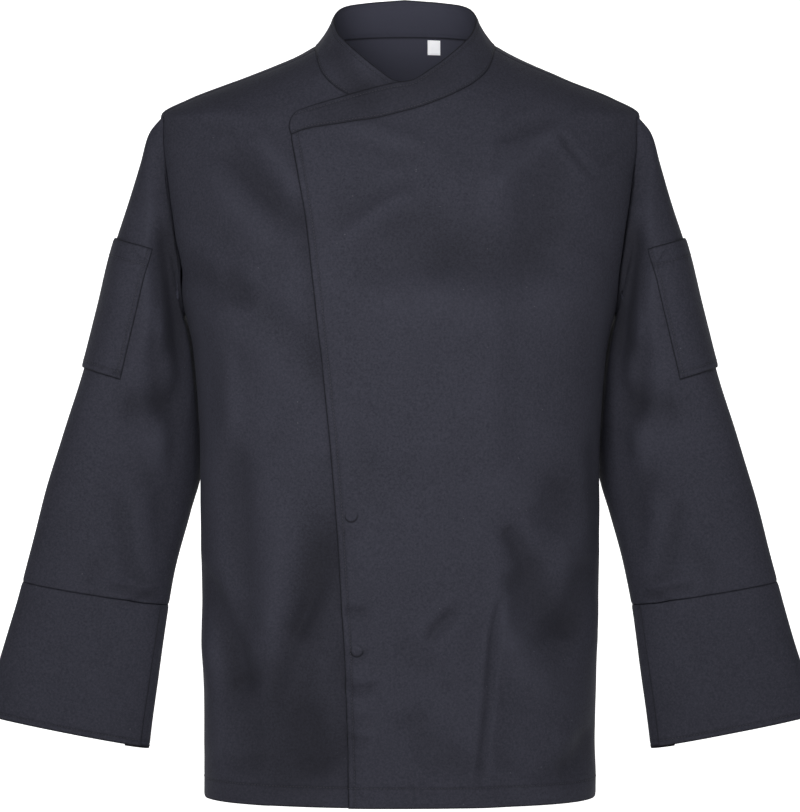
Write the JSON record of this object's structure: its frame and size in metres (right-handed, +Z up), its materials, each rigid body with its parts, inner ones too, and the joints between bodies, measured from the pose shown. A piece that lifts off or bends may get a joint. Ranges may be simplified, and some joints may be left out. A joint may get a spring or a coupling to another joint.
{
  "type": "chef jacket",
  "caption": "Long-sleeved chef jacket, filled out as if worn, with a stand collar, a crossing front over hidden snaps, wide cuffs and a pocket on each upper arm.",
  "frame": {"origin": "middle of the neck opening at the height of the shoulders' neck ends, where the wearer's neck and shoulders hold the jacket", "axes": "+Z up, +X towards the wearer's left side, -Y towards the front"},
  "size_m": [0.834, 0.2367, 0.7992],
  "materials": {
    "cloth": "matt, very dark navy, fine woven polyester and cotton",
    "snap": "dark lacquered, satin",
    "label": "white woven tape, bare"
  },
  "bodies": {
    "root": {"back": "cloth", "front_left": "cloth", "front_right": "cloth", "collar": "cloth", "sleeve_left": "cloth", "sleeve_right": "cloth", "cuff_left": "cloth", "cuff_right": "cloth", "pocket_left": "cloth", "pocket_right": "cloth", "snap_1": "snap", "snap_2": "snap", "snap_3": "snap", "snap_4": "snap", "snap_5": "snap", "label": "label"}
  },
  "joints": []
}
